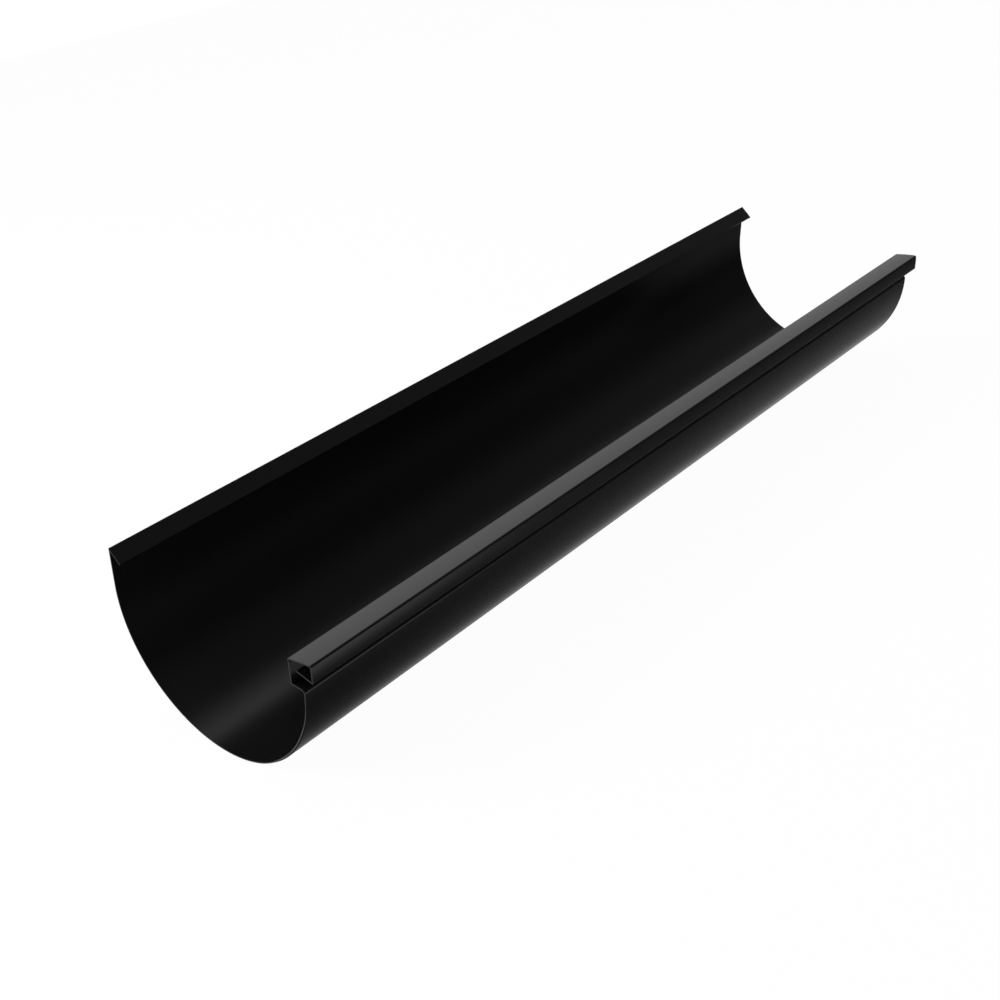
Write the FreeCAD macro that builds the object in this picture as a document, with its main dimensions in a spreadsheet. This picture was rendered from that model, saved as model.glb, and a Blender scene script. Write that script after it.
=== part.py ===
"""Half-round steel gutter with a boxed front bead: one cut piece of roll-formed, coated sheet.

One strip of constant thickness is folded along its length. From the rear to the front it runs:
flange, rear wall, half-round channel, neck, ledge, back of the bead, top of the bead, front of
the bead, and the lip that turns back into the bead. The open slot between the lip and the ledge
takes the hook of a gutter bracket.

The profile is drawn square, with the rear wall upright and the axis of the half-round at the
sketch's origin. The finished piece then lies as it would on a level floor: the bead is heavier
than the rear wall, so the trough rocks forward until its centre of mass is under its axis.

Frame: +X along the gutter, +Y to the rear wall, +Z up, origin at the bottom centre of the
bounding box. Millimetres.
"""
import FreeCAD
import Part
import Sketcher

import math
import os

SIZES = (
    ("section_length", 538.0, "cut length of the piece"),
    ("sheet_thickness", 0.6, "coated steel sheet"),
    ("outer_radius", 62.5, "outside of the half-round channel"),
    ("flange_run", 7.4, "rear flange, flat part"),
    ("flange_slope", 39.0, "rear flange below the horizontal, degrees"),
    ("rear_wall_run", 18.6, "upright rear wall, flat part"),
    ("neck_run", 2.4, "upright front wall below the ledge, flat part"),
    ("ledge_run", 5.2, "level ledge under the bead, flat part"),
    ("bead_back_run", 11.4, "back wall of the bead, flat part"),
    ("bead_top_run", 12.0, "top of the bead, flat part"),
    ("bead_lean", 3.2, "front and back of the bead off the upright, degrees"),
    ("bead_top_slope", 11.0, "fall of the bead's top towards the channel, degrees"),
    ("lip_slope", 11.5, "rise of the lip into the bead, degrees"),
    ("slot_height", 6.4, "clear height from the ledge to the underside of the bead"),
    ("lip_gap", 4.0, "clear width from the lip's edge to the back of the bead"),
    ("bead_bend_radius", 0.5, "inside radius of the bead's four bends"),
    ("neck_bend_radius", 1.4, "inside radius of the bend from neck to ledge"),
    ("fold_radius", 0.3, "inside radius of the fold at the rear flange"),
)

# Each flat of the strip, from the rear to the front, and its course: a square direction, or the
# heading in degrees as an expression on the size sheet.
FLATS = (
    ("flange", "Sizes.flange_slope"),
    ("rear_wall", "down"),
    ("neck", "up"),
    ("ledge", "rearward"),
    ("bead_back", "90 - Sizes.bead_lean"),
    ("bead_top", "180 - Sizes.bead_top_slope"),
    ("bead_front", "-90 - Sizes.bead_lean"),
    ("lip", "Sizes.lip_slope"),
)
NAMES = [name for name, course in FLATS]

# The square directions of the profile, across to the rear and up.
SQUARE = {"rearward": (1, 0), "up": (0, 1), "down": (0, -1)}

# The bend after each flat but the last, and the size that sets its inside radius.
BENDS = (
    ("rear_fold", "fold_radius"),
    ("half_round", None),
    ("neck_bend", "neck_bend_radius"),
    ("ledge_bend", "bead_bend_radius"),
    ("back_bend", "bead_bend_radius"),
    ("front_bend", "bead_bend_radius"),
    ("lip_bend", "bead_bend_radius"),
)
HALF_ROUND = [name for name, size in BENDS].index("half_round")

# The two faces of the strip: under is on the left of its heading, wet on the right.
FACES = {"under": 1, "wet": -1}

# Sketcher's numbers for the points of a curve, and its reference to the sketch's origin.
START, END, CENTRE = range(1, 4)
ORIGIN = (-1, START)


def direction(heading):
    """Unit vector of a heading given in degrees."""
    angle = math.radians(heading)
    return FreeCAD.Vector(math.cos(angle), math.sin(angle), 0)


def left_of(heading):
    """Unit vector square to a heading, on its left."""
    return direction(heading + 90)


def make_size_sheet(doc):
    """Spreadsheet of the driving dimensions, one alias each."""
    sheet = doc.addObject("Spreadsheet::Sheet", "Sizes")
    for row, (alias, value, meaning) in enumerate(SIZES, start=1):
        sheet.set(f"A{row}", meaning)
        sheet.set(f"B{row}", str(value))
        sheet.setAlias(f"B{row}", alias)
    doc.recompute()
    return sheet


def heading_of(sheet, course):
    """Heading in degrees of a square direction, or of an expression on the size sheet."""
    if course in SQUARE:
        rearward, up = SQUARE[course]
        return math.degrees(math.atan2(up, rearward))
    return float(sheet.evalExpression(course))


def turn_between(heading, next_heading):
    """Signed turn in degrees, left positive. A half turn goes right, as the channel does."""
    return (next_heading - heading + 180) % 360 - 180


def walk_strip(sheet):
    """Follows the middle of the sheet from the rear flange to the lip.

    Returns the flats as (start, end, heading) and the bends as (centre, turn, radius), measured
    on the middle of the sheet, with the half-round's centre at the origin.
    """
    headings = [heading_of(sheet, course) for name, course in FLATS]
    half = sheet.sheet_thickness / 2
    radii = [sheet.get(size) + half if size else sheet.outer_radius - half for name, size in BENDS]
    flats = []
    bends = []
    point = FreeCAD.Vector(0, 0, 0)
    for index, name in enumerate(NAMES):
        heading = headings[index]
        if name == "bead_front":
            run = run_to_slot(sheet, point, heading, flats[NAMES.index("ledge")])
        elif name == "lip":
            run = run_to_gap(sheet, point, heading, flats[NAMES.index("bead_back")])
        else:
            run = sheet.get(f"{name}_run")
        end = point + direction(heading) * run
        flats.append((point, end, heading))
        if index < len(BENDS):
            turn = turn_between(heading, headings[index + 1])
            side = math.copysign(1, turn)
            centre = end + left_of(heading) * (side * radii[index])
            bends.append((centre, turn, radii[index]))
            point = centre - left_of(headings[index + 1]) * (side * radii[index])
    home = bends[HALF_ROUND][0]
    flats = [(start - home, end - home, heading) for start, end, heading in flats]
    bends = [(centre - home, turn, radius) for centre, turn, radius in bends]
    return flats, bends


def run_to_slot(sheet, start, heading, ledge):
    """Length of the bead's front that leaves the slot its clear height above the ledge."""
    ledge_face = ledge[0].y + sheet.sheet_thickness / 2
    centre_height = ledge_face + sheet.slot_height + sheet.bead_bend_radius + sheet.sheet_thickness
    middle_radius = sheet.bead_bend_radius + sheet.sheet_thickness / 2
    rise = centre_height - start.y - left_of(heading).y * middle_radius
    return rise / direction(heading).y


def run_to_gap(sheet, start, heading, bead_back):
    """Length of the lip that stops its edge clear of the back of the bead."""
    outward = left_of(bead_back[2])
    wall_face = bead_back[0] + outward * (sheet.sheet_thickness / 2)
    corner = start - left_of(heading) * (sheet.sheet_thickness / 2)
    clear = (corner - wall_face).dot(outward)
    return (sheet.lip_gap - clear) / direction(heading).dot(outward)


def face_geometry(sheet, flats, bends, side):
    """Lines and arcs of one face of the strip: every flat first, then every bend."""
    offset = side * sheet.sheet_thickness / 2
    lines = []
    for start, end, heading in flats:
        shift = left_of(heading) * offset
        lines.append(Part.LineSegment(start + shift, end + shift))
    arcs = []
    for index, (centre, turn, radius) in enumerate(bends):
        left_turn = turn > 0
        face_radius = radius - offset if left_turn else radius + offset
        spoke = flats[index][2] + (-90 if left_turn else 90)
        first, last = sorted((spoke, spoke + turn))
        circle = Part.Circle(centre, FreeCAD.Vector(0, 0, 1), face_radius)
        arcs.append(Part.ArcOfCircle(circle, math.radians(first), math.radians(last)))
    return lines + arcs


def constrain(sketch, kind, *references, name=None, size=None):
    """Adds one constraint; a named one takes its value from an expression of the size sheet."""
    index = sketch.addConstraint(Sketcher.Constraint(kind, *references))
    if name:
        sketch.renameConstraint(index, name)
        sketch.setExpression(f"Constraints.{name}", size)


def draw_profile(sheet, sketch):
    """Both faces of the strip, closed by a cut edge at each end, with every size bound."""
    flats, bends = walk_strip(sheet)
    line = {}
    arc = {}
    for face, side in FACES.items():
        ids = sketch.addGeometry(face_geometry(sheet, flats, bends, side), False)
        line[face] = ids[: len(flats)]
        arc[face] = ids[len(flats):]

    join_bends(sketch, bends, line, arc)
    close_ends(sketch, flats, line)
    size_bends(sketch, bends, flats, arc)
    size_flats(sheet, sketch, flats, line, arc)


def join_bends(sketch, bends, line, arc):
    """Each face flows from flat to bend to flat, and the two arcs of a bend share a centre."""
    for index, (centre, turn, radius) in enumerate(bends):
        entry, leave = (START, END) if turn > 0 else (END, START)
        for face in FACES:
            bend = arc[face][index]
            constrain(sketch, "Tangent", line[face][index], END, bend, entry)
            constrain(sketch, "Tangent", bend, leave, line[face][index + 1], START)
        if index == HALF_ROUND:
            constrain(sketch, "Coincident", arc["under"][index], CENTRE, *ORIGIN)
        constrain(sketch, "Coincident", arc["wet"][index], CENTRE, arc["under"][index], CENTRE)


def close_ends(sketch, flats, line):
    """The square-cut edges of the sheet at the flange and at the lip. The first is its gauge."""
    for index, place in ((0, START), (len(flats) - 1, END)):
        corners = []
        for face in FACES:
            curve = sketch.Geometry[line[face][index]]
            corners.append(curve.StartPoint if place == START else curve.EndPoint)
        edge = sketch.addGeometry(Part.LineSegment(*corners), False)
        constrain(sketch, "Coincident", edge, START, line["under"][index], place)
        constrain(sketch, "Coincident", edge, END, line["wet"][index], place)
        constrain(sketch, "Perpendicular", edge, line["under"][index])
        if index == 0:
            constrain(sketch, "Distance", edge, corners[0].distanceToPoint(corners[1]),
                      name="thickness", size="Sizes.sheet_thickness")


def size_bends(sketch, bends, flats, arc):
    """The half-round takes the outer radius; every other bend takes its inside radius."""
    for index, (name, size) in enumerate(BENDS):
        turn = bends[index][1]
        if index == HALF_ROUND:
            face, value = "under", "Sizes.outer_radius"
        else:
            face, value = ("under" if turn > 0 else "wet"), f"Sizes.{size}"
        curve = arc[face][index]
        constrain(sketch, "Radius", curve, sketch.Geometry[curve].Radius,
                  name=f"{name}_radius", size=value)


def size_flats(sheet, sketch, flats, line, arc):
    """Heading and length of every flat. The bead's front and the lip end at their clearances."""
    for index, (name, course) in enumerate(FLATS):
        under = line["under"][index]
        constrain(sketch, "Parallel", under, line["wet"][index])
        if course in SQUARE:
            rearward, up = SQUARE[course]
            constrain(sketch, "Vertical" if up else "Horizontal", under)
        else:
            heading = math.radians(turn_between(0, flats[index][2]))
            constrain(sketch, "Angle", under, heading, name=f"{name}_heading", size=course)
        if name not in ("bead_front", "lip"):
            run = flats[index][0].distanceToPoint(flats[index][1])
            constrain(sketch, "Distance", under, run,
                      name=f"{name}_length", size=f"Sizes.{name}_run")

    ledge = line["under"][NAMES.index("ledge")]
    lip_bend = arc["under"][-1]
    height = sketch.Geometry[lip_bend].Center.y - sketch.Geometry[ledge].EndPoint.y
    constrain(sketch, "DistanceY", ledge, END, lip_bend, CENTRE, height, name="slot",
              size="Sizes.slot_height + Sizes.bead_bend_radius + Sizes.sheet_thickness")
    lip = line["wet"][NAMES.index("lip")]
    bead_back = line["under"][NAMES.index("bead_back")]
    constrain(sketch, "Distance", lip, END, bead_back, sheet.lip_gap, name="lip_edge",
              size="Sizes.lip_gap")


def make_gutter(doc, sheet):
    """The folded strip: the profile drawn on the YZ plane and drawn out both ways along X."""
    body = doc.addObject("PartDesign::Body", "GutterSection")
    body.Label = "gutter_section"
    plane = next(item for item in body.Origin.OriginFeatures if item.Role == "YZ_Plane")
    sketch = body.newObject("Sketcher::SketchObject", "StripProfile")
    sketch.AttachmentSupport = [(plane, "")]
    sketch.MapMode = "FlatFace"
    doc.recompute()
    draw_profile(sheet, sketch)
    doc.recompute()

    pad = body.newObject("PartDesign::Pad", "RollFormedLength")
    pad.Profile = sketch
    pad.SideType = "Symmetric"
    pad.setExpression("Length", "Sizes.section_length")
    doc.recompute()
    return body, sketch


def lay_on_floor(body, sheet):
    """Rocks the trough until its centre of mass is under its axis, and stands it on Z = 0."""
    mass_centre = body.Shape.CenterOfMass
    tilt = math.degrees(math.atan(mass_centre.y / mass_centre.z))
    rocked = FreeCAD.Rotation(FreeCAD.Vector(1, 0, 0), tilt)
    body.Placement = FreeCAD.Placement(FreeCAD.Vector(0, 0, sheet.outer_radius), rocked)
    box = body.Shape.optimalBoundingBox(False)
    body.Placement.Base.y = -(box.YMin + box.YMax) / 2
    return tilt


def check_document(doc, bodies):
    """Stops if a feature failed or a solid isn't whole."""
    for item in doc.Objects:
        if "Invalid" in item.State or "Error" in item.State:
            raise RuntimeError(f"{item.Label} failed: {item.State}")
    for body in bodies:
        if body.Shape.isNull() or not body.Shape.isValid() or len(body.Shape.Solids) != 1:
            raise RuntimeError(f"{body.Label} isn't one whole solid")


def strip_width(sheet):
    """Width of the flat strip before forming, measured on the middle of the sheet."""
    flats, bends = walk_strip(sheet)
    width = sum(start.distanceToPoint(end) for start, end, heading in flats)
    return width + sum(radius * math.radians(abs(turn)) for centre, turn, radius in bends)


def main():
    doc = FreeCAD.newDocument("gutter")
    sheet = make_size_sheet(doc)
    body, sketch = make_gutter(doc, sheet)
    tilt = lay_on_floor(body, sheet)
    doc.recompute()
    check_document(doc, [body])
    if not sketch.FullyConstrained:
        raise RuntimeError("the strip's profile isn't fully constrained")

    width = strip_width(sheet)
    expected = width * sheet.sheet_thickness * sheet.section_length
    box = body.Shape.optimalBoundingBox(False)
    print(f"strip {width:.2f} mm wide, solid {body.Shape.Volume:.1f} mm3, strip {expected:.1f} mm3")
    print(f"lies at {tilt:.2f} degrees, box {box.XLength:.2f} x {box.YLength:.2f} x {box.ZLength:.2f}")
    print(f"lowest point {box.ZMin:.4f}, sides {box.YMin:.3f} and {box.YMax:.3f}")

    os.makedirs("parts", exist_ok=True)
    body.Shape.exportStep(f"parts/{body.Label}.step")


main()
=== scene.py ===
# %% [markdown]
# # A length of half-round gutter
#
# The object is one strip of coated steel, folded along its length by a roll-forming line. It has a
# half-round channel, an upright rear wall with a narrow flange, and a boxed bead along the front
# whose lip turns back inside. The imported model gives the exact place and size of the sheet. This
# lesson forms the same sheet again with a finer surface, gives it a satin black coating, and lights
# it as a product on a pale floor.

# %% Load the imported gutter
import math
from collections import namedtuple

import bpy
from mathutils import Matrix, Vector


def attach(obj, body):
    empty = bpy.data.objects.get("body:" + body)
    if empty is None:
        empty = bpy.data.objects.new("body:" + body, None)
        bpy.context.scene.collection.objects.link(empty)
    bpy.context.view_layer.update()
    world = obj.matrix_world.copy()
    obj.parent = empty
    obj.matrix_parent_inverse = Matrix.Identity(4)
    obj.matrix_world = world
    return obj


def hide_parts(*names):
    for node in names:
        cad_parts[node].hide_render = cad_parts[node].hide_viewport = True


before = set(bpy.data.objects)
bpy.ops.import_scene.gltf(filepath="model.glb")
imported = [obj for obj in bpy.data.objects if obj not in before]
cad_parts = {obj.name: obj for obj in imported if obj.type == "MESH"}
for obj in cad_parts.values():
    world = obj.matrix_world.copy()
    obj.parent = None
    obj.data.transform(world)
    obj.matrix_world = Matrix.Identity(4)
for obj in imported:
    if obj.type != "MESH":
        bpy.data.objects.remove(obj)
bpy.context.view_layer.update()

# %% [markdown]
# ## The strip pattern
#
# A sheet-metal shop describes a gutter by its strip: the flat runs, the heading of each run and
# the bend between them. Typing the outline point by point would hide these numbers, so the strip
# is written the shop's way. The profile is drawn square, as it hangs on a house: across to the
# rear, and up. The half-round is a bend like the others, only much wider. It turns half a circle,
# and a corner can't do that, so the strip has two quarter bends there with nothing between them.

# %% Sizes of the strip, in metres and degrees
MM = 0.001
section_length = 538.0 * MM
sheet_thickness = 0.6 * MM
outer_radius = 62.5 * MM
bead_bend_radius = 0.5 * MM
neck_bend_radius = 1.4 * MM
fold_radius = 0.3 * MM

half_sheet = sheet_thickness / 2
channel_bend = outer_radius - half_sheet
bead_bend = bead_bend_radius + half_sheet
neck_bend = neck_bend_radius + half_sheet
fold_bend = fold_radius + half_sheet

# %% [markdown]
# ## The bead's front and its lip
#
# A bracket hooks into the slot under the bead, so the slot's height is what the maker holds. The
# lip must stay clear of the back of the bead, or the bracket can't pass. The front and the lip
# therefore have no length of their own. Both lengths are worked out from these two clear sizes.

# %% Lengths of the bead's front and of the lip
bead_back = 11.4 * MM
bead_top = 12.0 * MM
bead_lean = 3.2
bead_top_slope = 11.0
lip_slope = 11.5
slot_height = 6.4 * MM
lip_gap = 4.0 * MM

# The back and the top climb. The front comes down until its lower bend leaves the slot open.
upright = math.cos(math.radians(bead_lean))
climb = bead_back * upright + bead_top * math.sin(math.radians(bead_top_slope))
bead_front = (climb - slot_height - sheet_thickness) / upright

# Square to the bead's back: from its inner face to the middle of the lower bend, less the part
# of the lip that lies in the bend, less the gap.
lip_tilt = math.radians(lip_slope + bead_lean)
back_to_bend = bead_top * math.cos(math.radians(bead_top_slope - bead_lean)) + bead_bend_radius
lip_in_bend = (bead_bend_radius + sheet_thickness) * math.sin(lip_tilt)
lip_length = (back_to_bend - lip_in_bend - lip_gap) / math.cos(lip_tilt)
print(f"bead front {bead_front / MM:.3f} mm, lip {lip_length / MM:.3f} mm")

# %% The strip, run by run
# Each run has a flat length, a heading, and the middle radius of the bend after it.
Run = namedtuple("Run", "name length heading bend")
STRIP = (
    Run("flange", 7.4 * MM, 39.0, fold_bend),
    Run("rear wall", 18.6 * MM, -90.0, channel_bend),
    Run("channel floor", 0.0, -180.0, channel_bend),
    Run("neck", 2.4 * MM, -270.0, neck_bend),
    Run("ledge", 5.2 * MM, -360.0, bead_bend),
    Run("back of the bead", bead_back, -270.0 - bead_lean, bead_bend),
    Run("top of the bead", bead_top, -180.0 - bead_top_slope, bead_bend),
    Run("front of the bead", bead_front, -90.0 - bead_lean, bead_bend),
    Run("lip", lip_length, lip_slope, 0.0),
)


def direction(heading):
    """Unit vector of a heading, across to the rear and up."""
    return Vector((math.cos(math.radians(heading)), math.sin(math.radians(heading))))


def turn_between(heading, next_heading):
    """Signed turn between two runs in degrees, left positive, never more than half a turn."""
    return (next_heading - heading + 180) % 360 - 180


strip_width = sum(run.length for run in STRIP)
for run, next_run in zip(STRIP, STRIP[1:]):
    strip_width += run.bend * math.radians(abs(turn_between(run.heading, next_run.heading)))
print(f"flat strip before forming: {strip_width / MM:.1f} mm wide")

# %% [markdown]
# ## Corners and bends
#
# Blender's Fillet Curve node rounds the corners of a polyline by a radius that each point may
# carry itself. That is just what bending does, so the pattern becomes a polyline through the sharp
# corners, the points where two flats would meet if nothing were rounded. A bend takes the same
# length from the flats on both sides of its corner: radius times the tangent of half the turn.

# %% Sharp corners of the strip, with their bend radii


def setback(bend, turn):
    """Length that a bend takes from each of its two flats, for a turn in degrees."""
    return bend * math.tan(math.radians(abs(turn)) / 2)


def strip_corners():
    """Corners of the strip's middle line, and the bend radius at each, half-round's axis at zero."""
    point = Vector((0.0, 0.0))
    corners, radii = [point.copy()], [0.0]
    before = 0.0
    for index, run in enumerate(STRIP):
        after = 0.0
        if run.bend:
            after = setback(run.bend, turn_between(run.heading, STRIP[index + 1].heading))
        point = point + direction(run.heading) * (before + run.length + after)
        corners.append(point.copy())
        radii.append(run.bend)
        before = after
    # The corner under the rear wall lies one channel bend behind the axis and one below it.
    under_wall = corners[2]
    axis = under_wall + Vector((-channel_bend, channel_bend))
    return [corner - axis for corner in corners], radii


corners, radii = strip_corners()
for run, corner in zip(STRIP, corners[1:]):
    print(f"{run.name:18s} ends at corner {corner.x / MM:8.2f} {corner.y / MM:8.2f} mm")

# %% [markdown]
# ## How it lies
#
# Off the house, the gutter lies on its round back. The folded bead is heavier than the rear wall,
# so it rocks forward until its centre of mass is under the axis of the half-round. The lean is
# worked out here from the strip's own middle line, and the gutter and the camera share the matrix
# that comes out, so that the camera sees the gutter just as the photographer did.

# %% Lean of the resting gutter
CHORDS_PER_BEND = 90


def middle_line():
    """Points along the strip's middle line, with the bends as short chords."""
    line = [corners[0]]
    for index in range(1, len(corners) - 1):
        heading = STRIP[index - 1].heading
        turn = turn_between(heading, STRIP[index].heading)
        side = math.copysign(1, turn)
        start = corners[index] - direction(heading) * setback(radii[index], turn)
        centre = start + direction(heading + 90) * side * radii[index]
        for step in range(CHORDS_PER_BEND + 1):
            spoke = heading - 90 * side + turn * step / CHORDS_PER_BEND
            line.append(centre + direction(spoke) * radii[index])
    line.append(corners[-1])
    return line


line = middle_line()
chords = list(zip(line, line[1:]))
lengths = [(end - start).length for start, end in chords]
weighted = [(start + end) / 2 * length for (start, end), length in zip(chords, lengths)]
mass_centre = sum(weighted, Vector((0.0, 0.0))) / sum(lengths)
lean = math.atan(mass_centre.x / mass_centre.y)

# Rocked, the gutter reaches from the bead in front to the half-round behind. The origin is midway.
rocked = Matrix.Rotation(lean, 4, "X")
front_reach = min((rocked @ Vector((0.0, point.x, point.y))).y for point in line) - half_sheet
axis_across = -(front_reach + outer_radius) / 2
lying = Matrix.Translation((0.0, axis_across, outer_radius)) @ rocked
print(f"lean {math.degrees(lean):.2f} degrees, axis {axis_across / MM:.2f} mm off the box's middle")

# %% [markdown]
# ## Crisp folds and crowned faces
#
# Three folds are pressed tight after rolling: the one over the rear wall, the rear one of the bead
# and the one above its lip. Their outlines reach almost to the point where the two faces would
# meet, so the drawn pattern gives these corners little or no bend.
#
# The rolls also leave the two broad faces of the bead a little crowned, by a tenth or two of a
# millimetre. It can't be measured by eye, but it is why a reflection fades across each face. A
# crown is one more corner in the middle of the run, moved outwards, with a very wide bend.

# %% Crisp folds, and crowns on the top and the front of the bead
# Middle radius of the bend after each of these runs.
INSIDE_TRACE = 0.01 * MM
TIGHT_BEND = half_sheet + INSIDE_TRACE
CRISP_BENDS = {"flange": 0.0, "back of the bead": TIGHT_BEND, "front of the bead": TIGHT_BEND}

# Turn of each crowned face in degrees, the part of it that is curved, and its distance from a bend.
CROWNS = {"top of the bead": 6.0, "front of the bead": 6.0}
CROWN_SPREAD = 0.85
CROWN_CLEARANCE = 1.2 * bead_bend


def press_and_crown(corners, radii):
    """Tightens the crisp folds, and puts a middle corner with a wide bend into each crowned run."""
    bends_after = [CRISP_BENDS.get(run.name, bend) for run, bend in zip(STRIP, radii[1:])]
    drawn, bends = [corners[0]], [radii[0]]
    for run, start, end, bend_after in zip(STRIP, corners, corners[1:], bends_after):
        if run.name in CROWNS:
            slope = math.tan(math.radians(CROWNS[run.name] / 2))
            half = (end - start).length / 2
            drawn.append((start + end) / 2 + direction(run.heading - 90) * half * slope)
            bends.append(CROWN_SPREAD * (half - CROWN_CLEARANCE) / slope)
            print(f"{run.name}: crown radius {bends[-1] / MM:.0f} mm")
        drawn.append(end)
        bends.append(bend_after)
    return drawn, bends


drawn_corners, drawn_bends = press_and_crown(corners, radii)

# %% [markdown]
# ## Roll forming in Geometry Nodes
#
# The section is the same from end to end, so the sheet is a rule and not a sculpture: round the
# corners, then draw the line out along the gutter. A node tree keeps the rule and its sizes in one
# place. The pattern goes in as a mesh of edges with two values on every point, the bend radius
# and how many facets the bend gets. Extruding the line gives the middle surface of the sheet.

# %% Pattern mesh
# Facets in each quarter of the half-round, and in every other bend or crown.
FACETS_CHANNEL = 60
FACETS_BEAD = 10


def make_pattern():
    """The strip's corners as a line of edges at the near end, each corner with its bend."""
    mesh = bpy.data.meshes.new("strip_pattern")
    points = [lying @ Vector((-section_length / 2, p.x, p.y)) for p in drawn_corners]
    mesh.from_pydata(points, [(i, i + 1) for i in range(len(points) - 1)], [])
    radius = mesh.attributes.new("bend_radius", "FLOAT", "POINT")
    radius.data.foreach_set("value", drawn_bends)
    facets = mesh.attributes.new("bend_facets", "INT", "POINT")
    counts = [FACETS_CHANNEL if bend == channel_bend else FACETS_BEAD for bend in drawn_bends]
    facets.data.foreach_set("value", counts)
    pattern = bpy.data.objects.new("gutter_sheet", mesh)
    bpy.context.scene.collection.objects.link(pattern)
    return pattern


pattern = make_pattern()
print("pattern points:", len(pattern.data.vertices))

# %% [markdown]
# ## The rule as a node tree
#
# The sheet is drawn out in two goes. The first leaves a short strip at the near end, so that the
# mark of the shears can be made there later without touching the rest. The two quarter bends of
# the half-round end in the same point, so points that fall together are welded before that.

# %% Node tree that forms the sheet
END_STRIP = 0.4 * MM
WELD_DISTANCE = 0.001 * MM
TREE_INPUTS = (
    ("Strip pattern", "NodeSocketGeometry"),
    ("Section length", "NodeSocketFloat"),
    ("End strip", "NodeSocketFloat"),
    ("Coating", "NodeSocketMaterial"),
)


def point_value(nodes, name, kind):
    """Reads one of the values that the pattern carries on its points."""
    value = nodes.new("GeometryNodeInputNamedAttribute")
    value.data_type = kind
    value.inputs["Name"].default_value = name
    return value.outputs["Attribute"]


def forming_tree():
    """Rounds the pattern's corners and draws the line out along X, first a short strip, then the rest."""
    tree = bpy.data.node_groups.new("roll_forming", "GeometryNodeTree")
    tree.is_modifier = True
    for name, kind in TREE_INPUTS:
        tree.interface.new_socket(name, in_out="INPUT", socket_type=kind)
    tree.interface.new_socket("Formed sheet", in_out="OUTPUT", socket_type="NodeSocketGeometry")
    nodes, links = tree.nodes, tree.links

    sizes = nodes.new("NodeGroupInput")
    to_curve = nodes.new("GeometryNodeMeshToCurve")
    fillet = nodes.new("GeometryNodeFilletCurve")
    fillet.mode = "POLY"
    to_mesh = nodes.new("GeometryNodeCurveToMesh")
    weld = nodes.new("GeometryNodeMergeByDistance")
    weld.inputs["Distance"].default_value = WELD_DISTANCE
    rest = nodes.new("ShaderNodeMath")
    rest.operation = "SUBTRACT"
    smooth = nodes.new("GeometryNodeSetShadeSmooth")
    realize = nodes.new("GeometryNodeRealizeInstances")
    coat = nodes.new("GeometryNodeSetMaterial")
    formed = nodes.new("NodeGroupOutput")

    links.new(sizes.outputs["Strip pattern"], to_curve.inputs["Mesh"])
    links.new(to_curve.outputs["Curve"], fillet.inputs["Curve"])
    links.new(point_value(nodes, "bend_radius", "FLOAT"), fillet.inputs["Radius"])
    links.new(point_value(nodes, "bend_facets", "INT"), fillet.inputs["Count"])
    links.new(fillet.outputs["Curve"], to_mesh.inputs["Curve"])
    links.new(to_mesh.outputs["Mesh"], weld.inputs["Geometry"])
    links.new(sizes.outputs["Section length"], rest.inputs[0])
    links.new(sizes.outputs["End strip"], rest.inputs[1])
    drawn, last_line = weld.outputs["Geometry"], None
    for distance in (sizes.outputs["End strip"], rest.outputs["Value"]):
        along = nodes.new("ShaderNodeCombineXYZ")
        draw_out = nodes.new("GeometryNodeExtrudeMesh")
        draw_out.mode = "EDGES"
        links.new(distance, along.inputs["X"])
        links.new(drawn, draw_out.inputs["Mesh"])
        links.new(along.outputs["Vector"], draw_out.inputs["Offset"])
        if last_line:
            links.new(last_line, draw_out.inputs["Selection"])
        drawn, last_line = draw_out.outputs["Mesh"], draw_out.outputs["Top"]
    links.new(drawn, smooth.inputs["Geometry"])
    links.new(smooth.outputs["Geometry"], realize.inputs["Geometry"])
    links.new(realize.outputs["Geometry"], coat.inputs["Geometry"])
    links.new(sizes.outputs["Coating"], coat.inputs["Material"])
    links.new(coat.outputs["Geometry"], formed.inputs["Formed sheet"])
    return tree


tree = forming_tree()
print("forming tree:", len(tree.nodes), "nodes")

# %% [markdown]
# ## Satin black coating
#
# The strip is painted before it is formed, so the coating is thin and even. It is nearly black
# with a satin sheen: what shows is mostly the reflection of the room, spread wide. A plain black
# with one roughness would look like plastic. Rolled paint has a faint orange peel and a fine
# grain. The peel, about 3 mm across, and the grain, about 0.3 mm, both make a very low bump, and
# the grain also stirs the roughness.

# %% Coating colours and sizes
coating_black = (0.0046, 0.0046, 0.0048, 1.0)
coating_ior = 1.5
coating_roughness = 0.25
roughness_spread = 0.01
peel_size, peel_detail = 3.0 * MM, 2.0
peel_strength, peel_height = 0.05, 0.02 * MM
grain_size, grain_detail = 0.3 * MM, 3.0
grain_strength, grain_height = 0.02, 0.001 * MM

# %% Small helpers for node trees


def noise_at(nodes, links, coordinates, size, detail):
    """Noise whose blotches are about `size` metres across."""
    noise = nodes.new("ShaderNodeTexNoise")
    noise.inputs["Scale"].default_value = 1 / size
    noise.inputs["Detail"].default_value = detail
    links.new(coordinates.outputs["Object"], noise.inputs["Vector"])
    return noise.outputs["Fac"]


def ranged(nodes, links, value, start=(0.0, 1.0), end=(0.0, 1.0)):
    """Maps a value from its start range to its end range, and stops at the ends."""
    node = nodes.new("ShaderNodeMapRange")
    node.inputs["From Min"].default_value, node.inputs["From Max"].default_value = start
    node.inputs["To Min"].default_value, node.inputs["To Max"].default_value = end
    links.new(value, node.inputs["Value"])
    return node.outputs["Result"]


def bump_of(nodes, links, noise, strength, height):
    """Bump that a noise makes."""
    bump = nodes.new("ShaderNodeBump")
    bump.inputs["Strength"].default_value = strength
    bump.inputs["Distance"].default_value = height
    links.new(noise, bump.inputs["Height"])
    return bump


# %% Coating material


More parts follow.
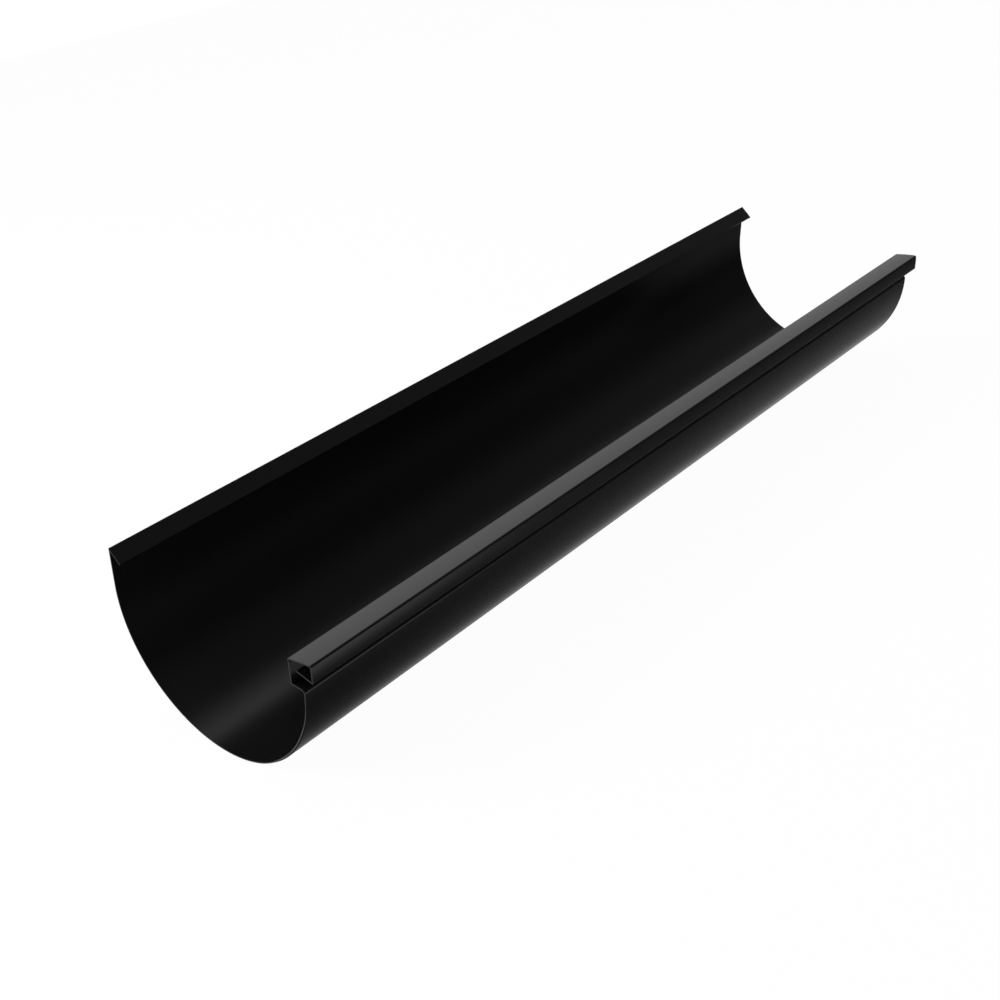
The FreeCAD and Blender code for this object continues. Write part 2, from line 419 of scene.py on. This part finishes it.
def make_coating():
    """Nearly black satin paint, with a faint orange peel and a fine grain."""
    material = bpy.data.materials.new("satin_black_coating")
    material.use_nodes = True
    nodes, links = material.node_tree.nodes, material.node_tree.links
    shader = nodes["Principled BSDF"]
    shader.inputs["Base Color"].default_value = coating_black
    shader.inputs["IOR"].default_value = coating_ior
    coordinates = nodes.new("ShaderNodeTexCoord")
    peel = noise_at(nodes, links, coordinates, peel_size, peel_detail)
    grain = noise_at(nodes, links, coordinates, grain_size, grain_detail)
    spread = (coating_roughness - roughness_spread, coating_roughness + roughness_spread)
    links.new(ranged(nodes, links, grain, end=spread), shader.inputs["Roughness"])
    coarse = bump_of(nodes, links, peel, peel_strength, peel_height)
    fine = bump_of(nodes, links, grain, grain_strength, grain_height)
    links.new(coarse.outputs["Normal"], fine.inputs["Normal"])
    links.new(fine.outputs["Normal"], shader.inputs["Normal"])
    return material


coating = make_coating()
print("coating:", coating.name, "with", len(coating.node_tree.nodes), "nodes")

# %% [markdown]
# ## From middle line to sheet
#
# Solidify gives the surface its gauge, half to each side, and keeps the gauge even through the
# bends. The live modifiers are then turned into a plain mesh, because the next step moves its
# points, and the export and the measuring tools want one too.
#
# A real cut shows bare steel. Here the whole sheet has one material, the coating, and the thin
# lines at the cuts are only its reflections on the cut faces and their eased corners.

# %% Form and thicken


def socket_id(tree, name):
    """Identifier of one of the tree's inputs, by its name."""
    return next(item.identifier for item in tree.interface.items_tree if item.name == name)


def make_plain(piece):
    """Turns the piece's live modifiers into a plain mesh."""
    evaluated = piece.evaluated_get(bpy.context.evaluated_depsgraph_get())
    mesh = bpy.data.meshes.new_from_object(evaluated)
    piece.modifiers.clear()
    blank = piece.data
    piece.data = mesh
    mesh.name = piece.name
    bpy.data.meshes.remove(blank)


def form_sheet(pattern, tree):
    """Runs the tree and gives the sheet its gauge."""
    forming = pattern.modifiers.new("roll_forming", "NODES")
    forming.node_group = tree
    forming[socket_id(tree, "Section length")] = section_length
    forming[socket_id(tree, "End strip")] = END_STRIP
    forming[socket_id(tree, "Coating")] = coating
    gauge = pattern.modifiers.new("gauge", "SOLIDIFY")
    gauge.thickness = sheet_thickness
    gauge.offset = 0.0
    gauge.use_even_offset = True
    make_plain(pattern)
    return pattern


gutter = form_sheet(pattern, tree)
print("sheet:", len(gutter.data.polygons), "faces, materials",
      [slot.name if slot else None for slot in gutter.data.materials])

# %% [markdown]
# ## The mark of the shears
#
# Shears roll the paint over on one side of a cut and push a burr up on the other. On the lower
# front of the near end that makes a bright line with a dark one outside it. The burr is no deeper
# than the sheet is thick, so the points of the cut are simply moved: inwards, and leaning a little.
# The short strip that was drawn out first keeps the change off the rest of the sheet.

# %% Burr on the lower front of the near end
BURR_DEPTH = 0.6 * MM

# How far the cut face leans back along the gutter, for each length inwards from its outside.
FACE_SLANT = 0.45

# Headings round the half-round: where the burr starts, is full, begins to fade, and ends.
BURR_ARC = (188.0, 204.0, 222.0, 242.0)


def soft_step(value, start, end):
    """0 before start and 1 after end, with a soft change between them."""
    share = min(max((value - start) / (end - start), 0.0), 1.0)
    return share * share * (3 - 2 * share)


def raise_burr(mesh):
    """Moves the points of the near cut inwards along the lower front of the half-round."""
    square, moved = lying.inverted(), 0
    first, full, fade, last = BURR_ARC
    for vertex in mesh.vertices:
        point = square @ vertex.co
        spoke = Vector((0.0, point.y, point.z))
        heading = math.degrees(math.atan2(point.z, point.y)) % 360
        share = soft_step(heading, first, full) - soft_step(heading, fade, last)
        if share == 0.0 or point.x > END_STRIP / 2 - section_length / 2:
            continue
        back = Vector((FACE_SLANT * (outer_radius - spoke.length), 0.0, 0.0))
        vertex.co = lying @ (point + share * (back - spoke.normalized() * BURR_DEPTH))
        moved += 1
    return moved


print("points moved by the shears:", raise_burr(gutter.data))

# %% [markdown]
# ## Eased edges
#
# A narrow bevel on the sheared edges catches the light as real ones do. Weighted normals keep the
# flats flat beside the bevels.

# %% Ease the edges
EDGE_EASE = 0.07 * MM
EASE_FACETS = 2
EDGE_ANGLE = 35


def ease_edges(sheet):
    """Bevels each edge that turns by more than the edge angle."""
    ease = sheet.modifiers.new("eased_edges", "BEVEL")
    ease.width = EDGE_EASE
    ease.segments = EASE_FACETS
    ease.limit_method = "ANGLE"
    ease.angle_limit = math.radians(EDGE_ANGLE)
    flatten = sheet.modifiers.new("flat_faces", "WEIGHTED_NORMAL")
    flatten.keep_sharp = True
    make_plain(sheet)


ease_edges(gutter)
print("eased sheet:", len(gutter.data.polygons), "faces")

# %% [markdown]
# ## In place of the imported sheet
#
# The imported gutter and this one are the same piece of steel, so the formed sheet takes its place.
# Nothing on a gutter moves, and the sheet stays with the root body.

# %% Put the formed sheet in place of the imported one
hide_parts("gutter_section")
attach(gutter, "root")
print("in place:", gutter.name)

# %% [markdown]
# ## Camera
#
# The photograph looks along the gutter from its left end, from the front and above. Its camera was
# found from the ends, the bead's corners and the circle of the half-round, in the gutter's own
# square frame, so it goes through the same matrix as the strip.

# %% Camera at the photograph's viewpoint
camera_square = Vector((-571.1, -416.66, 392.03)) * MM
camera_turn = 39.646
camera_drop = 32.711
focal_mm = 52.34
sensor_mm = 36.0
clip_start = 10 * MM

turn, drop = math.radians(camera_turn), math.radians(camera_drop)
ahead = Vector((math.cos(turn) * math.cos(drop), math.sin(turn) * math.cos(drop), -math.sin(drop)))
right = Vector((math.sin(turn), -math.cos(turn), 0.0))
square_view = Matrix((right, right.cross(ahead), -ahead)).transposed().to_4x4()
camera_data = bpy.data.cameras.new("photo_camera")
camera_data.sensor_width = sensor_mm
camera_data.lens = focal_mm
camera_data.clip_start = clip_start
camera = bpy.data.objects.new("photo_camera", camera_data)
camera.matrix_world = lying @ Matrix.Translation(camera_square) @ square_view
bpy.context.scene.collection.objects.link(camera)
bpy.context.scene.camera = camera
print("camera at", [round(v, 4) for v in camera.matrix_world.translation])

# %% [markdown]
# ## Pale floor and soft light
#
# Black satin shows little but what stands round it, so the room matters more than the lamps. For
# the camera this room is plain white. About half of the soft light comes from the room, and a
# large lamp behind the gutter gives the rest. A photographer sets dark flags beside a black object,
# or it would look grey: here the flags stand on the camera's side and under the front, and a low
# card stands before the near end. Only reflections see them, so they are part of the world and no
# objects are needed. The floor is white paper that keeps a faint shadow. Reflections look through
# it to the same room and its flags.

# %% Floor
FLOOR_HALF = 4.0
PAPER_GLOW = 0.97
paper_white = (0.9, 0.9, 0.9, 1.0)
glow_white = (1.0, 1.0, 1.0, 1.0)


def reflection_share(nodes, links, seen):
    """1 for rays that come from a reflection or through a surface, and 0 for all others."""
    either = nodes.new("ShaderNodeMath")
    either.operation = "MAXIMUM"
    links.new(seen.outputs["Is Glossy Ray"], either.inputs[0])
    links.new(seen.outputs["Is Transmission Ray"], either.inputs[1])
    return either.outputs["Value"]


def either_shader(nodes, links, share, first, second):
    """The first shader where the share is 0, and the second where it is 1."""
    mix = nodes.new("ShaderNodeMixShader")
    links.new(share, mix.inputs["Fac"])
    links.new(first, mix.inputs[1])
    links.new(second, mix.inputs[2])
    return mix.outputs["Shader"]


def make_paper():
    """White paper: its own glow keeps it white for the camera, and the rest of it takes a shadow."""
    material = bpy.data.materials.new("pale_floor")
    material.use_nodes = True
    nodes, links = material.node_tree.nodes, material.node_tree.links
    nodes.remove(nodes["Principled BSDF"])
    seen = nodes.new("ShaderNodeLightPath")
    paper = nodes.new("ShaderNodeBsdfDiffuse")
    paper.inputs["Color"].default_value = paper_white
    glow = nodes.new("ShaderNodeEmission")
    glow.inputs["Color"].default_value = glow_white
    to_room = nodes.new("ShaderNodeBsdfTransparent")
    glow_share = ranged(nodes, links, seen.outputs["Is Camera Ray"], end=(0.0, PAPER_GLOW))
    lit_paper = either_shader(nodes, links, glow_share, paper.outputs["BSDF"], glow.outputs["Emission"])
    rays = reflection_share(nodes, links, seen)
    surface = either_shader(nodes, links, rays, lit_paper, to_room.outputs["BSDF"])
    links.new(surface, nodes["Material Output"].inputs["Surface"])
    return material


def make_floor():
    """Flat square of paper under the gutter."""
    mesh = bpy.data.meshes.new("pale_floor")
    signs = ((-1, -1), (1, -1), (1, 1), (-1, 1))
    mesh.from_pydata([(FLOOR_HALF * x, FLOOR_HALF * y, 0) for x, y in signs], [], [(0, 1, 2, 3)])
    floor = bpy.data.objects.new("pale_floor", mesh)
    bpy.context.scene.collection.objects.link(floor)
    floor.data.materials.append(make_paper())
    return floor


floor = make_floor()
print("floor:", floor.name)

# %% [markdown]
# ## Flags in the white room
#
# The gutter is long and straight, so it mirrors the room in bands along its length. The levels are
# therefore written round the gutter's long axis, as headings in its square profile: 0 is behind, 90
# above, 180 the camera's side and 270 below. One list holds for reflections that leave towards the
# near end, and one for those that leave towards the far end. A level of 1 is the white room.
#
# A slant is the part of a reflection's direction that runs along the gutter towards the far end.
# The two lists blend between two slants, and the card ends between two others. The world isn't
# sampled as a lamp, because here that only added grain.

# %% Levels round the gutter
NEAR_LEVELS = (
    (0, 0.79), (30, 0.99), (50, 1.15), (72, 0.41), (90, 0.07), (120, 0.08), (150, 0.01),
    (195, 0.01), (225, 0.01), (250, 0.04), (270, 0.08), (285, 0.18), (300, 0.44), (330, 0.72),
)
FAR_LEVELS = (
    (0, 0.73), (30, 0.54), (50, 0.73), (72, 0.65), (90, 0.08), (120, 0.13), (150, 0.04),
    (190, 0.01), (225, 0.08), (250, 0.20), (270, 0.21), (285, 0.48), (300, 0.82), (330, 0.76),
)
CARD_LEVELS = ((184, 0.0), (190, 0.90), (215, 0.90), (220, 0.0))
NEAR_SLANT, FAR_SLANT = 0.50, 0.85
CARD_SLANT, CARD_END_SLANT = 0.58, 0.61

# Level of the room for soft light. The camera sees it at 1.
ROOM_LIGHT = 0.55

# %% World with flags and a card


def level_ramp(nodes, links, turn, levels):
    """Ramp over a whole turn from the camera's side, through below, behind and above."""
    node = nodes.new("ShaderNodeValToRGB")
    ramp = node.color_ramp
    stops = sorted(((heading + 180) % 360 / 360, level) for heading, level in levels)
    while len(ramp.elements) < len(stops):
        ramp.elements.new(0.5)
    for element, (place, level) in zip(ramp.elements, stops):
        element.position = place
        element.color = (level, level, level, 1.0)
    links.new(turn, node.inputs["Fac"])
    return node.outputs["Color"]


def blend(nodes, links, share, first, second, kind="MIX"):
    """Mixes or adds the second colour to the first by a share."""
    mix = nodes.new("ShaderNodeMix")
    mix.data_type = "RGBA"
    mix.blend_type = kind
    links.new(share, mix.inputs["Factor"])
    links.new(first, mix.inputs["A"])
    links.new(second, mix.inputs["B"])
    return mix.outputs["Result"]


def reflected_room(nodes, links, lean):
    """Level that a reflection sees in each direction, in the gutter's square frame."""
    coordinates = nodes.new("ShaderNodeTexCoord")
    square = nodes.new("ShaderNodeMapping")
    square.inputs["Rotation"].default_value = (-lean, 0.0, 0.0)
    links.new(coordinates.outputs["Generated"], square.inputs["Vector"])
    parts = nodes.new("ShaderNodeSeparateXYZ")
    links.new(square.outputs["Vector"], parts.inputs["Vector"])
    heading = nodes.new("ShaderNodeMath")
    heading.operation = "ARCTAN2"
    links.new(parts.outputs["Z"], heading.inputs[0])
    links.new(parts.outputs["Y"], heading.inputs[1])
    turn = ranged(nodes, links, heading.outputs["Value"], start=(-math.pi, math.pi))
    near = level_ramp(nodes, links, turn, NEAR_LEVELS)
    far = level_ramp(nodes, links, turn, FAR_LEVELS)
    card = level_ramp(nodes, links, turn, CARD_LEVELS)
    slant = parts.outputs["X"]
    far_share = ranged(nodes, links, slant, start=(NEAR_SLANT, FAR_SLANT))
    flags = blend(nodes, links, far_share, near, far)
    card_share = ranged(nodes, links, slant, start=(CARD_END_SLANT, CARD_SLANT))
    return blend(nodes, links, card_share, flags, card, "ADD")


def make_room(lean):
    """White world for the camera and for soft light, with flags and a card for reflections."""
    world = bpy.data.worlds.new("white_room")
    bpy.context.scene.world = world
    world.use_nodes = True
    world.cycles.sampling_method = "NONE"
    nodes, links = world.node_tree.nodes, world.node_tree.links
    seen = nodes.new("ShaderNodeLightPath")
    plain = ranged(nodes, links, seen.outputs["Is Camera Ray"], end=(ROOM_LIGHT, 1.0))
    rays = reflection_share(nodes, links, seen)
    room = blend(nodes, links, rays, plain, reflected_room(nodes, links, lean))
    background = nodes["Background"]
    background.inputs["Strength"].default_value = 1.0
    links.new(room, background.inputs["Color"])
    return world


room = make_room(lean)
print("room:", room.name, "with", len(room.node_tree.nodes), "nodes")

# %% [markdown]
# ## One soft lamp behind
#
# The photo's light is even and almost without shadow. One large lamp stands behind and above, on
# the near end's side, and adds the second half of the soft light. Its own reflection is left out,
# because the lists above already say what the gutter mirrors there.

# %% Soft lamp behind and above
lamp_place = (-1.3, 1.2, 1.2)
lamp_aim = (0.0, 0.0, 0.0)
lamp_width = 1.2
lamp_power = 36.0


def soft_lamp(name, place, aim, width, power):
    """Square lamp that faces a point and isn't mirrored."""
    lamp_data = bpy.data.lights.new(name, "AREA")
    lamp_data.shape = "SQUARE"
    lamp_data.size = width
    lamp_data.energy = power
    lamp = bpy.data.objects.new(name, lamp_data)
    lamp.location = place
    lamp.rotation_mode = "QUATERNION"
    lamp.rotation_quaternion = (Vector(aim) - Vector(place)).to_track_quat("-Z", "Y")
    lamp.visible_glossy = False
    bpy.context.scene.collection.objects.link(lamp)
    return lamp


lamp = soft_lamp("rear_softbox", lamp_place, lamp_aim, lamp_width, lamp_power)
bpy.context.scene.view_settings.view_transform = "Standard"
print("lamp:", lamp.name)
